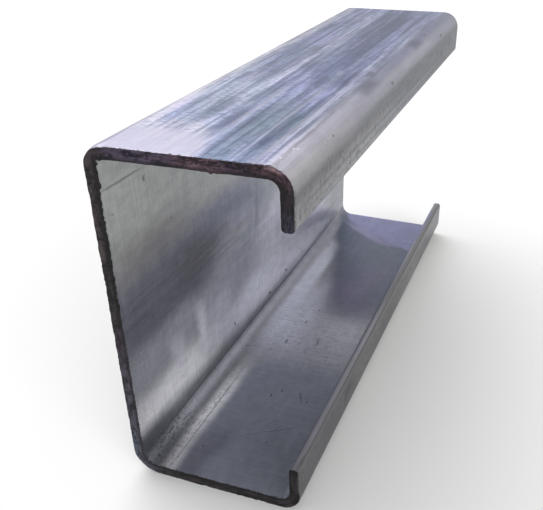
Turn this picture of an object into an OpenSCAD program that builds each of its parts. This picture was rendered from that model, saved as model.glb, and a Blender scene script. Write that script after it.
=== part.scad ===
// Short sawn length of cold-formed lipped channel steel.
// It lies along Y and stands on its bottom flange, with its web at -X and its open side at +X.
// The origin is at the bottom, midway across the flanges and midway along the length.
// The far end, at +Y, is cut square. The front end, at -Y, is sawn a little out of square.

/* [Section] */
// Height of the web, over the outside of both flanges
web_height = 100; // [80:1:250]
// Width of each flange, over the outside of the web and of the lip
flange_width = 50; // [40:1:100]
// Depth of each lip, from the outside of its flange to its slit edge
lip_depth = 15; // [10:0.5:30]
// Thickness of the steel
steel_thickness = 3; // [1.5:0.1:4]
// Radius worn on both corners of each slit edge
slit_edge_radius = 0.9; // [0.3:0.1:1.5]

/* [Bends] */
// Inside radius of the bend between the web and the top flange
web_top_bend = 1.6; // [0.8:0.1:5]
// Inside radius of the bend between the web and the bottom flange
web_bottom_bend = 4.4; // [0.8:0.1:5]
// Inside radius of the bend between each flange and its lip
lip_bend = 3; // [0.8:0.1:5]

/* [Length and ends] */
// Length from the foremost point of the front cut to the far end
overall_length = 186.4; // [100:0.2:600]
// Swing of the front cut about the upright, which brings the web side forward
cut_swing = 2.75; // [0.5:0.05:6]
// Lean of the front cut, which brings the top flange forward
cut_lean = 2.05; // [0.5:0.05:6]

/* [Hidden] */
$fn = 96;
// Stock left in front of the cut, and how far the cutting block reaches past the section
cut_allowance = 20;
// Inside radii in the order bottom left, bottom right, top right, top left
bends = [web_bottom_bend, lip_bend, lip_bend, web_top_bend];
// The worn corners stay clear of each other, whatever the thickness
edge_radius = min(slit_edge_radius, 0.45 * steel_thickness);
// The cut is the plane y = cut_x_slope * x + cut_z_slope * z + constant
cut_x_slope = tan(cut_swing);
cut_z_slope = -tan(cut_lean) / cos(cut_swing);
// Its foremost point lies on the top bend of the web, this far ahead of the plane at that bend's centre
top_bend_outside = web_top_bend + steel_thickness;
cut_lead = top_bend_outside * norm([cut_x_slope, cut_z_slope]);

// What rounding takes off the bottom left corner of a shape that starts at the origin
module corner_waste(radius) {
    difference() {
        translate([-radius, -radius]) square(2 * radius);
        translate([radius, radius]) circle(r = radius);
    }
}

// A rectangle with its bottom left corner at the origin and a radius for each corner,
// in the order bottom left, bottom right, top right, top left
module rounded_rectangle(width, height, radii) {
    difference() {
        square([width, height]);
        corner_waste(radii[0]);
        translate([width, 0]) mirror([1, 0]) corner_waste(radii[1]);
        translate([width, height]) rotate(180) corner_waste(radii[2]);
        translate([0, height]) mirror([0, 1]) corner_waste(radii[3]);
    }
}

// Rounds both corners of the lower lip's slit edge
module lower_slit_waste() {
    translate([flange_width - steel_thickness, lip_depth]) mirror([0, 1]) corner_waste(edge_radius);
    translate([flange_width, lip_depth]) rotate(180) corner_waste(edge_radius);
}

// The formed strip seen from the front, with the web's outer face on x = 0
module strip_section() {
    inside_width = flange_width - 2 * steel_thickness;
    inside_height = web_height - 2 * steel_thickness;
    difference() {
        rounded_rectangle(flange_width, web_height, [for (r = bends) r + steel_thickness]);
        translate([steel_thickness, steel_thickness])
            rounded_rectangle(inside_width, inside_height, bends);
        translate([inside_width, lip_depth])
            square([3 * steel_thickness, web_height - 2 * lip_depth]);
        lower_slit_waste();
        translate([0, web_height]) mirror([0, 1]) lower_slit_waste();
    }
}

// Everything in front of the saw cut, whose face touches the foremost point of the section
module front_cut() {
    reach = flange_width + web_height + 2 * cut_allowance;
    translate([
        top_bend_outside - flange_width / 2,
        cut_lead - overall_length / 2,
        web_height - top_bend_outside
    ])
        rotate([cut_lean, 0, cut_swing])
        translate([-reach, -reach, -reach])
        cube([2 * reach, reach, 2 * reach]);
}

// The channel: one strip of steel, formed and sawn to length
module c_channel() {
    color([0.58, 0.60, 0.67])
    difference() {
        translate([-flange_width / 2, overall_length / 2, 0])
            rotate([90, 0, 0])
            linear_extrude(overall_length + cut_allowance)
            strip_section();
        front_cut();
    }
}

c_channel();
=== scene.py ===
import math

import bpy
import numpy as np
from mathutils import Matrix, Vector


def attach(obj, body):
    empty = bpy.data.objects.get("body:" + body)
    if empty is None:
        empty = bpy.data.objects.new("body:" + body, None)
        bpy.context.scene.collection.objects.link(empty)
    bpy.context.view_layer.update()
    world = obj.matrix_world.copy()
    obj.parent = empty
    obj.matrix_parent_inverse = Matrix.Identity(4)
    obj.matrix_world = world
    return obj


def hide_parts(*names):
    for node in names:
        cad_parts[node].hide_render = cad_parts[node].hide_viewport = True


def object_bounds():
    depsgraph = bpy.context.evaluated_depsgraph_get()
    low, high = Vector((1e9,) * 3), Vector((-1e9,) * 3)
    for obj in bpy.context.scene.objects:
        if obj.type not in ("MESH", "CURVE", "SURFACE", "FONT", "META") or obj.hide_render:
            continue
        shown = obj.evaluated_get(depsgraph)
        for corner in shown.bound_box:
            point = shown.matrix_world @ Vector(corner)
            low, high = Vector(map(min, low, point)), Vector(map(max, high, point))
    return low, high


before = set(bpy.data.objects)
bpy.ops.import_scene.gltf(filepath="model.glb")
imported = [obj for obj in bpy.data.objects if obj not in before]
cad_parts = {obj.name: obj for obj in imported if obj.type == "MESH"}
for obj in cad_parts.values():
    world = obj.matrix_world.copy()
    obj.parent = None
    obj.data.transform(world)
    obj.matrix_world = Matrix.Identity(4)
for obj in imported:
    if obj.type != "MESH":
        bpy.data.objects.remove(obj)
cadLow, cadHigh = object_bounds()
print("frame loaded")

millimetre = 0.001

# The strip of steel, in millimetres. Its height, width and length come from the frame.
strip = {
    "thickness": 3.0,
    "lipBend": 3.0,        # inside radii of the bends: at both lips, web to top flange, web to bottom
    "webTopBend": 1.6,
    "webBottomBend": 4.4,
    "lipDepth": 15.0,
    "slitEdge": 0.9,       # radius worn on the corners of both slit edges
    "cutSwing": 2.75,      # degrees that the front cut swings about the upright
    "cutLean": 2.05,       # degrees that it leans, top forward
    "fineStep": 0.30,      # spacing of points around the section beside the cuts
    "slitSteps": 6,        # points round each corner of a slit edge
    "capRows": 8,          # rows of faces through the steel's thickness on a sawn face
    "ringStep": 2.4,       # spacing of rings along the steel
    "sharpAngle": 48,      # degrees between faces past which an edge is sharp
    "sag": 0.10,           # how far a flat may sink between its bends, for a flat of this width
    "sagWidth": 30.0,
    "sagMost": 1.4,        # the widest flat sinks by no more than this many times that
    "sagWave": 38.0,       # length of its waves along the steel, and waves across a flat
    "sagWavesAcross": 1.5,
    "sagSeed": 70,
    "sagFade": 8,          # it grows to its full depth over one part in this many of the length
}
# What sawing does at both ends, in millimetres
sawMarks = {
    "hollow": (4.5, 2.5),  # grain of the sawn face's hollows, across the strip and through it
    "pit": (0.9, 0.8),     # grain of its pits
    "fineChip": 0.75,      # spacing of fine and of slow unevenness round the rim
    "slowChip": 3.2,
    "chipFade": 2.4,       # where the broken, the rounded and the worn rim fade out behind the cut
    "roundFade": 0.5,
    "wornFade": 3.0,
}
# How each end was sawn, in millimetres
frontCut = {
    "ringPlaces": (0.0, 0.12, 0.26, 0.44, 0.68, 1.0, 1.4, 1.9, 2.6, 3.5, 4.7),
    "relief": 0.12,        # unevenness of the sawn face
    "chip": 0.24,          # how far the rim is broken back
    "roundOff": 0.11,      # how far the outer rim is rounded down
    "burr": 0.13,          # height of the burr all along the inner rim
    "burrReach": 0.42,     # how far the burr's root reaches back from the cut
    "teeth": (             # burr left hanging: place across the strip, half width, height
        (59.8, 1.4, 1.1),
        (62.2, 1.0, 0.8),
        (65.5, 1.4, 0.6),
        (72.0, 12.0, 0.30),
        (78.5, 1.2, 0.5),
        (56.5, 1.6, 0.7),
        (29.0, 1.9, 0.7),
        (98.0, 1.2, 0.6),
        (196.5, 2.2, 0.6),
    ),
    "dressed": (           # outer rim hammered and worn down: place across, half width, depth
        (57.0, 2.6, 0.40),
        (206.5, 5.5, 0.6),
        (155.0, 4.0, 0.2),
    ),
    "seed": 11,
}
farCut = {
    "ringPlaces": (0.0, 0.14, 0.34, 0.65, 1.1, 1.8, 2.8),
    "relief": 0.08,
    "chip": 0.16,
    "roundOff": 0.15,
    "burr": 0.12,
    "burrReach": 0.3,
    "teeth": (),
    "dressed": (),
    "seed": 23,
}

height = (cadHigh.z - cadLow.z) / millimetre
width = (cadHigh.x - cadLow.x) / millimetre
length = (cadHigh.y - cadLow.y) / millimetre
thickness = strip["thickness"]
topBendOutside = strip["webTopBend"] + thickness


def bendRun(insideRadius):
    # A quarter bend of the strip's middle line: its length, and its radius.
    radius = insideRadius + thickness / 2
    return radius * math.pi / 2, radius


def flatRun(size, *bends):
    # A flat: what the bends' outside radii leave of its outside size. Its radius is 0.
    return size - sum(bends) - thickness * len(bends), 0.0


# Flats and bends of the strip's middle line, from the top lip's slit edge to the bottom one's
runs = (
    flatRun(strip["lipDepth"], strip["lipBend"]),
    bendRun(strip["lipBend"]),
    flatRun(width, strip["lipBend"], strip["webTopBend"]),
    bendRun(strip["webTopBend"]),
    flatRun(height, strip["webTopBend"], strip["webBottomBend"]),
    bendRun(strip["webBottomBend"]),
    flatRun(width, strip["webBottomBend"], strip["lipBend"]),
    bendRun(strip["lipBend"]),
    flatRun(strip["lipDepth"], strip["lipBend"]),
)
stripWidth = sum(run for run, _ in runs)


def softNoise(u, v, seed, wrap=0):
    # Value noise from 0 to 1: random numbers on a lattice, blended across each cell with the
    # curve 3t^2 - 2t^3. With wrap set, the lattice repeats after that many cells along u.
    startU = 0.0 if wrap else np.floor(np.min(u))
    startV = np.floor(np.min(v))
    columns = wrap if wrap else int(np.max(u) - startU) + 2
    rows = int(np.max(v) - startV) + 2
    lattice = np.random.default_rng(seed).random((columns, rows))
    cellU = np.floor(u - startU).astype(int)
    cellV = np.floor(v - startV).astype(int)
    shareU = u - startU - cellU
    shareV = v - startV - cellV
    shareU = shareU * shareU * (3 - 2 * shareU)
    shareV = shareV * shareV * (3 - 2 * shareV)
    nextU = (cellU + 1) % columns
    cellU = cellU % columns
    low = lattice[cellU, cellV] * (1 - shareU) + lattice[nextU, cellV] * shareU
    high = lattice[cellU, cellV + 1] * (1 - shareU) + lattice[nextU, cellV + 1] * shareU
    return low * (1 - shareV) + high * shareV


def followStrip(across):
    # The middle line of the formed strip: x, z and the outward normal at a distance across it.
    # A flat goes straight on; a bend turns left on its radius: x = r sin, z = -r cos.
    x = np.full(across.shape, width / 2 - thickness / 2)
    z = np.full(across.shape, height - strip["lipDepth"])
    heading = np.full(across.shape, math.pi / 2)
    start = 0.0
    for run, radius in runs:
        gone = np.clip(across - start, 0.0, run)     # nothing before this run, all of it past its end
        if radius:
            turned = heading + gone / radius
            x = x + radius * (np.sin(turned) - np.sin(heading))
            z = z - radius * (np.cos(turned) - np.cos(heading))
            heading = turned
        else:
            x = x + gone * np.cos(heading)
            z = z + gone * np.sin(heading)
        start += run
    return x, z, np.sin(heading), -np.cos(heading)


def halfOutline():
    # The outer half of the strip's section laid flat, as (across, depth), from the middle of the
    # top lip's slit edge to the middle of the bottom lip's. Depth is positive outside the middle
    # line. The corners are quarter circles: across = e - e cos, depth = half - e + e sin.
    half = thickness / 2
    edge = strip["slitEdge"]
    turn = np.linspace(0.0, math.pi / 2, strip["slitSteps"] + 1)
    startAcross = np.concatenate([[0.0], edge - edge * np.cos(turn)])
    startDepth = np.concatenate([[0.0], half - edge + edge * np.sin(turn)])
    sideSteps = 2 * int(round((stripWidth - 2 * edge) / strip["fineStep"] / 2))
    side = np.linspace(edge, stripWidth - edge, sideSteps + 1)[1:-1]
    across = np.concatenate([startAcross, side, stripWidth - startAcross[::-1]])
    depth = np.concatenate([startDepth, np.full(side.size, half), startDepth[::-1]])
    return across, depth


def frontPlane(x, z):
    # The sawn plane: y rises with x by tan(swing) and falls with z by tan(lean) / cos(swing), and
    # it touches the front of the frame on the outside of the bend between web and top flange.
    swing, lean = math.radians(strip["cutSwing"]), math.radians(strip["cutLean"])
    slopeX, slopeZ = math.tan(swing), -math.tan(lean) / math.cos(swing)
    lead = topBendOutside * math.hypot(slopeX, slopeZ)
    return (lead - length / 2 + slopeX * (x - topBendOutside + width / 2)
            + slopeZ * (z - height + topBendOutside))


def farPlane(x, z):
    # The far end is cut square: y is half the length everywhere.
    return np.full(np.shape(x), length / 2)


def flatSag(across, along):
    # How far the flats sink inwards: half a wave, sin^2, across each flat, times slow noise along
    # the steel. The bends are stiff and stay where they are.
    sag = np.zeros(along.shape)
    start = 0.0
    for index, (run, radius) in enumerate(runs):
        if not radius:
            share = np.clip((across - start) / run, 0.0, 1.0) + 0 * along
            seed = strip["sagSeed"] + index
            slow = softNoise(along / strip["sagWave"], share * strip["sagWavesAcross"], seed)
            deepest = strip["sag"] * min(run / strip["sagWidth"], strip["sagMost"])
            sag = sag + deepest * slow * np.sin(math.pi * share) ** 2
        start += run
    return sag


def relief(cut, across, depth):
    # Unevenness of a sawn face, always behind its plane: 0.65 hollows + 0.35 pits.
    hollow, pit = sawMarks["hollow"], sawMarks["pit"]
    slow = softNoise(across / hollow[0], depth / hollow[1], cut["seed"] + 2)
    quick = softNoise(across / pit[0], depth / pit[1], cut["seed"] + 3)
    return cut["relief"] * (0.65 * slow + 0.35 * quick)


def sawnRim(cut, across, depth, around):
    # What the saw left along a rim: how far it is broken back, how far the outer side is rounded
    # and worn down beside it, and how far the inner side stands up as a burr. Teeth and worn
    # places fade out as exp(-d^2) and exp(-d^4) of the distance over their half width.
    perimeter = around[-1] + strip["fineStep"]
    fineCells = int(perimeter / sawMarks["fineChip"])
    slowCells = int(perimeter / sawMarks["slowChip"])
    fine = softNoise(around / perimeter * fineCells, 0 * around, cut["seed"], fineCells)
    slow = softNoise(around / perimeter * slowCells, 0 * around, cut["seed"] + 1, slowCells)
    inner = np.clip(-2 * depth / thickness, 0.0, 1.0)
    outer = np.clip(2 * depth / thickness, 0.0, 1.0)
    chip = cut["chip"] * slow * (0.4 * slow + 0.9 * fine)
    burr = cut["burr"] * (0.2 + 1.6 * fine * slow)
    for place, halfWidth, tall in cut["teeth"]:
        burr = burr + tall * fine ** 1.5 * np.exp(-((across - place) / halfWidth) ** 2)
    worn = 0 * across
    for place, halfWidth, deep in cut["dressed"]:
        worn = worn + deep * (0.9 + 0.1 * fine) * np.exp(-((across - place) / halfWidth) ** 4)
    return chip, cut["roundOff"] * (0.35 + 0.65 * fine) * outer, worn * outer, burr * inner


def endRings(cut, plane, backwards, across, depth, around):
    # Rings of points beside a cut. The broken, the rounded and the worn rim each fade out as
    # (1 - gap / fade)^2 behind the cut, and the burr as exp(-(gap / reach)^1.4).
    x, z, normalX, normalZ = followStrip(across)
    chip, roundOff, worn, burr = sawnRim(cut, across, depth, around)
    rings, depths = [], []
    for gap in cut["ringPlaces"]:
        sunk = roundOff * max(1 - gap / sawMarks["roundFade"], 0) ** 2
        sunk = sunk + worn * max(1 - gap / sawMarks["wornFade"], 0) ** 2
        depths.append(depth - sunk - burr * math.exp(-(gap / cut["burrReach"]) ** 1.4))
        ringX = x + depths[-1] * normalX
        ringZ = z + depths[-1] * normalZ
        uneven = chip + relief(cut, across, depth)
        back = gap + uneven * max(1 - gap / sawMarks["chipFade"], 0) ** 2
        rings.append(np.stack([ringX, plane(ringX, ringZ) + backwards * back, ringZ], axis=1))
    return rings, depths, chip


def capPoints(cut, plane, backwards, rim, chip, across, depth):
    # A sawn face's inner points: straight lines from the outer rim to the inner one at every place
    # across the strip, in rows that crowd towards the rims as 0.5 - 0.5 cos. A rim's chips fade
    # out as the fourth power of the distance left to the other rim.
    steps = across.size // 2
    outer = np.arange(1, steps)
    inner = across.size - outer
    rows = np.arange(1, strip["capRows"])[:, None]
    share = 0.5 - 0.5 * np.cos(math.pi * rows / strip["capRows"])
    x = rim[outer, 0] * (1 - share) + rim[inner, 0] * share
    z = rim[outer, 2] * (1 - share) + rim[inner, 2] * share
    deep = depth[outer] * (1 - share) + depth[inner] * share
    broken = chip[outer] * (1 - share) ** 4 + chip[inner] * share ** 4
    back = broken + relief(cut, across[outer] + 0 * share, deep)
    return np.stack([x, plane(x, z) + backwards * back, z], axis=2).reshape(-1, 3), deep.ravel()


def bandFaces(first, second, size):
    # Quads from one ring to the next one behind it, facing outwards.
    here = np.arange(size)
    there = (here + 1) % size
    return np.stack([first + here, second + here, second + there, first + there], axis=1)


def stepFaces(fine, plain, size, fineInFront):
    # Triangles where two steps of a fine ring meet one step of a plain ring.
    here = np.arange(size)
    left, middle, right = fine + 2 * here, fine + 2 * here + 1, fine + (2 * here + 2) % (2 * size)
    near, far = plain + here, plain + (here + 1) % size
    found = np.concatenate([
        np.stack([left, near, middle], axis=1),
        np.stack([middle, near, far], axis=1),
        np.stack([middle, far, right], axis=1),
    ])
    return found if fineInFront else found[:, ::-1]


def capFaces(rimStart, pointStart, count, facesFront):
    # A sawn face: a grid of quads between the outer rim and the inner one, and a fan of triangles
    # at each slit edge.
    steps = count // 2
    columns = np.arange(1, steps)
    inner = pointStart + np.arange((strip["capRows"] - 1) * (steps - 1)).reshape(-1, steps - 1)
    grid = np.concatenate([[rimStart + columns], inner, [rimStart + count - columns]])
    corners = [grid[:-1, :-1], grid[:-1, 1:], grid[1:, 1:], grid[1:, :-1]]
    quads = np.stack(corners, axis=2).reshape(-1, 4)
    first = np.full(grid.shape[0] - 1, rimStart)
    fans = np.concatenate([
        np.stack([first, grid[:-1, 0], grid[1:, 0]], axis=1),
        np.stack([grid[:-1, -1], first + steps, grid[1:, -1]], axis=1),
    ])
    return (quads, fans) if facesFront else (quads[:, ::-1], fans[:, ::-1])


def putInMesh(name, points, laid, faces):
    # faces is a list of (corner array, material index); laid is a vector for every point.
    mesh = bpy.data.meshes.new(name)
    corners = np.concatenate([part.ravel() for part, _ in faces])
    sizes = np.concatenate([np.full(len(part), part.shape[1]) for part, _ in faces])
    slots = np.concatenate([np.full(len(part), slot) for part, slot in faces])
    mesh.vertices.add(len(points))
    mesh.vertices.foreach_set("co", (points * millimetre).astype(np.float32).ravel())
    mesh.loops.add(len(corners))
    mesh.loops.foreach_set("vertex_index", corners.astype(np.int32))
    mesh.polygons.add(len(sizes))
    mesh.polygons.foreach_set("loop_start", (np.cumsum(sizes) - sizes).astype(np.int32))
    mesh.polygons.foreach_set("material_index", slots.astype(np.int32))
    mesh.polygons.foreach_set("use_smooth", np.ones(len(sizes), bool))
    mesh.update(calc_edges=True)
    attribute = mesh.attributes.new("laid", "FLOAT_VECTOR", "POINT")
    attribute.data.foreach_set("vector", laid.astype(np.float32).ravel())
    mesh.set_sharp_from_angle(angle=math.radians(strip["sharpAngle"]))
    return mesh


def buildChannel():
    # The channel: fine rings beside both cuts, plain rings spaced evenly between them, and the two
    # sawn faces. The flats' sag grows from nothing beside the cuts.
    halfAcross, halfDepth = halfOutline()
    across = np.concatenate([halfAcross, halfAcross[-2:0:-1]])
    depth = np.concatenate([halfDepth, -halfDepth[-2:0:-1]])
    around = np.concatenate([[0.0], np.cumsum(np.hypot(np.diff(across), np.diff(depth)))])
    count = across.size
    frontRings, frontDepths, frontChip = endRings(frontCut, frontPlane, 1, across, depth, around)
    farRings, farDepths, farChip = endRings(farCut, farPlane, -1, across, depth, around)

    # between the ends, rings of every other point
    plain = np.arange(0, count, 2)
    x, z, normalX, normalZ = followStrip(across[plain])
    nearest = frontRings[-1][plain, 1]
    farthest = farRings[-1][plain, 1]
    between = length - frontCut["ringPlaces"][-1] - farCut["ringPlaces"][-1]
    ringCount = int(round(between / strip["ringStep"]))
    share = (np.arange(1, ringCount) / ringCount)[:, None]
    y = nearest + (farthest - nearest) * share
    fade = np.clip(strip["sagFade"] * np.minimum(share, 1 - share), 0, 1)
    out = depth[plain] - flatSag(across[plain], y + length / 2) * fade
    middle = np.stack([x + out * normalX, y, z + out * normalZ], axis=2)

    frontCap, frontDepth = capPoints(
        frontCut, frontPlane, 1, frontRings[0], frontChip, across, depth)
    farCap, farDepth = capPoints(farCut, farPlane, -1, farRings[0], farChip, across, depth)
    rings = [*frontRings, *middle, *farRings[::-1]]
    blocks = [*rings, frontCap, farCap]
    starts = np.cumsum([0] + [len(block) for block in blocks])
    points = np.concatenate(blocks)

    skin, steps = [], []
    for index in range(len(rings) - 1):
        here, there = len(rings[index]), len(rings[index + 1])
        if here == there:
            skin.append(bandFaces(starts[index], starts[index + 1], here))
        elif here > there:
            steps.append(stepFaces(starts[index], starts[index + 1], there, True))
        else:
            steps.append(stepFaces(starts[index + 1], starts[index], here, False))
    frontGrid, frontFans = capFaces(starts[0], starts[len(rings)], count, True)
    farGrid, farFans = capFaces(starts[len(rings) - 1], starts[len(rings) + 1], count, False)
    faces = [(part, 0) for part in skin + steps]
    faces += [(part, 1) for part in (frontGrid, frontFans, farGrid, farFans)]

    # where each point lies on the strip laid flat: across, along from the front cut, and side
    capAcross = np.tile(across[1:count // 2], strip["capRows"] - 1)
    ringAcross = [across if len(ring) == count else across[plain] for ring in rings]
    acrossAll = np.concatenate([*ringAcross, capAcross, capAcross])
    middleDepth = np.tile(depth[plain], len(middle))
    depthAll = np.concatenate(
        [*frontDepths, middleDepth, *farDepths[::-1], frontDepth, farDepth])
    alongAll = points[:, 1] - frontPlane(points[:, 0], points[:, 2])
    laid = np.stack([acrossAll, alongAll, 2 * depthAll / thickness], axis=1)
    mesh = putInMesh("channelSteel", points, laid, faces)
    triangleCount = sum(len(part) * (part.shape[1] - 2) for part, _ in faces)
    print(f"channel: {len(points)} points, {triangleCount} triangles")
    piece = bpy.data.objects.new("channelSteel", mesh)
    bpy.context.scene.collection.objects.link(piece)
    return piece


def addNode(tree, kind, sockets, **options):
    # A shader node whose named input sockets are either linked or given a value.
    made = tree.nodes.new(kind)
    for option, value in options.items():
        setattr(made, option, value)
    for socket, value in sockets.items():
        if isinstance(value, bpy.types.NodeSocket):
            tree.links.new(value, made.inputs[socket])
        else:
            made.inputs[socket].default_value = value
    return made


def calc(tree, operation, first, second=0.0, third=0.0):
    # One step of arithmetic on up to three values.
    sockets = {0: first, 1: second, 2: third}
    return addNode(tree, "ShaderNodeMath", sockets, operation=operation).outputs[0]


def calcVector(tree, operation, first, second=(0, 0, 0), third=(0, 0, 0)):
    # The same on vectors.
    sockets = {0: first, 1: second, 2: third}
    return addNode(tree, "ShaderNodeVectorMath", sockets, operation=operation).outputs[0]


def joinVector(tree, x, y, z):
    # A vector from its three parts.
    return addNode(tree, "ShaderNodeCombineXYZ", {0: x, 1: y, 2: z}).outputs[0]


def remap(tree, value, low, high, newLow=0.0, newHigh=1.0, curve="SMOOTHSTEP"):
    # Carries low..high to newLow..newHigh and holds both ends, along 3t^2 - 2t^3 or straight.
    sockets = {0: value, 1: low, 2: high, 3: newLow, 4: newHigh}
    return addNode(tree, "ShaderNodeMapRange", sockets, interpolation_type=curve).outputs[0]


def blend(tree, share, first, second, kind="MIX"):
    # first where share is 0, and second, or first times or plus second, where it is 1
    made = addNode(tree, "ShaderNodeMix", {}, data_type="RGBA", blend_type=kind)
    for socket, value in ((0, share), (6, first), (7, second)):
        if isinstance(value, bpy.types.NodeSocket):
            tree.links.new(value, made.inputs[socket])
        else:
            made.inputs[socket].default_value = (*value, 1) if socket else value
    return made.outputs[2]


def newGroup(name, sockets, result):
    # An empty node group with its named inputs and one output, and its two end nodes.
    group = bpy.data.node_groups.new(name, "ShaderNodeTree")
    for socketName, kind, value in sockets:
        socket = group.interface.new_socket(socketName, in_out="INPUT", socket_type=kind)
        if value is not None:
            socket.default_value = value
    group.interface.new_socket(result, in_out="OUTPUT", socket_type="NodeSocketFloat")
    given = group.nodes.new("NodeGroupInput").outputs
    return group, given, group.nodes.new("NodeGroupOutput").inputs


def buildDrawnNoise():
    # Noise stretched to a grain of a given size each way, in millimetres, from 0 to 1.
    group, given, result = newGroup("drawnNoise", (
        ("Place", "NodeSocketVector", None),
        ("Size", "NodeSocketVector", (1, 1, 1)),
        ("Detail", "NodeSocketFloat", 2.0),
        ("Low", "NodeSocketFloat", 0.3),
        ("High", "NodeSocketFloat", 0.7),
    ), "Value")
    scaled = calcVector(group, "DIVIDE", given["Place"], given["Size"])
    noise = addNode(group, "ShaderNodeTexNoise", {
        "Vector": scaled, "Scale": 1.0, "Detail": given["Detail"], "Roughness": 0.6,
    })
    value = remap(group, noise.outputs["Fac"], given["Low"], given["High"])
    group.links.new(value, result["Value"])
    return group


def buildSoftPatch():
    # A patch with rounded corners: d is (x^4 + y^4 + z^4)^(1/4) of place * scale + move, and the
    # mask falls from full to 0 as d goes from inner to outer.
    group, given, result = newGroup("softPatch", (
        ("Place", "NodeSocketVector", None),
        ("Scale", "NodeSocketVector", (1, 1, 1)),
        ("Move", "NodeSocketVector", (0, 0, 0)),
        ("Inner", "NodeSocketFloat", 0.7),
        ("Outer", "NodeSocketFloat", 1.3),
        ("Full", "NodeSocketFloat", 1.0),
    ), "Mask")
    share = calcVector(group, "MULTIPLY_ADD", given["Place"], given["Scale"], given["Move"])
    squared = calcVector(group, "MULTIPLY", share, share)
    total = addNode(group, "ShaderNodeVectorMath", {0: squared, 1: squared}, operation="DOT_PRODUCT")
    distance = calc(group, "POWER", total.outputs["Value"], 0.25)
    mask = remap(group, distance, given["Inner"], given["Outer"], given["Full"], 0.0)
    group.links.new(mask, result["Mask"])
    return group


def buildSpecks():
    # Round specks, one for some of the cells: a cell's own random number sets its speck's size,
    # and cells whose number is below 1 - share have none. A speck fades over its outer 45%.
    group, given, result = newGroup("specks", (
        ("Place", "NodeSocketVector", None),
        ("Cell", "NodeSocketVector", (1, 1, 1)),
        ("Size", "NodeSocketFloat", 0.3),
        ("Share", "NodeSocketFloat", 0.2),
    ), "Mask")
    scaled = calcVector(group, "DIVIDE", given["Place"], given["Cell"])
    cells = addNode(group, "ShaderNodeTexVoronoi", {"Vector": scaled, "Scale": 1.0})
    chance = addNode(group, "ShaderNodeSeparateColor", {0: cells.outputs["Color"]}).outputs[0]
    above = calc(group, "SUBTRACT", calc(group, "ADD", chance, given["Share"]), 1.0)
    grown = calc(group, "DIVIDE", calc(group, "MAXIMUM", above, 0.0), given["Share"])
    radius = calc(group, "MULTIPLY", given["Size"], calc(group, "SQRT", grown))
    edge = calc(group, "MULTIPLY", radius, 0.55)
    end = calc(group, "ADD", radius, 0.0001)
    faded = remap(group, cells.outputs["Distance"], edge, end, 1.0, 0.0)
    group.links.new(faded, result["Mask"])
    return group


drawnNoise = buildDrawnNoise()
softPatch = buildSoftPatch()
specks = buildSpecks()


def useGroup(tree, group, **sockets):
    # Places a group with its values, by the names of its inputs.
    return addNode(tree, "ShaderNodeGroup", sockets, node_tree=group).outputs[0]


def patch(tree, place, middle, halfSize, edge, full=1.0, slant=0.0):
    # A soft patch by its middle and half size, so scale = 1 / half size and move = -middle / half
    # size. Its edge fades over 1 - edge to 1 + edge. Slant leans it: x less slant times y.
    if slant:
        x, y, z = addNode(tree, "ShaderNodeSeparateXYZ", {0: place}).outputs
        place = joinVector(tree, calc(tree, "MULTIPLY_ADD", y, -slant, x), y, z)
        middle = (middle[0] - slant * middle[1], *middle[1:])
    return useGroup(tree, softPatch, Place=place, Scale=[1 / size for size in halfSize],
                    Move=[-at / size for at, size in zip(middle, halfSize)],
                    Inner=1 - edge, Outer=1 + edge, Full=full)


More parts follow.
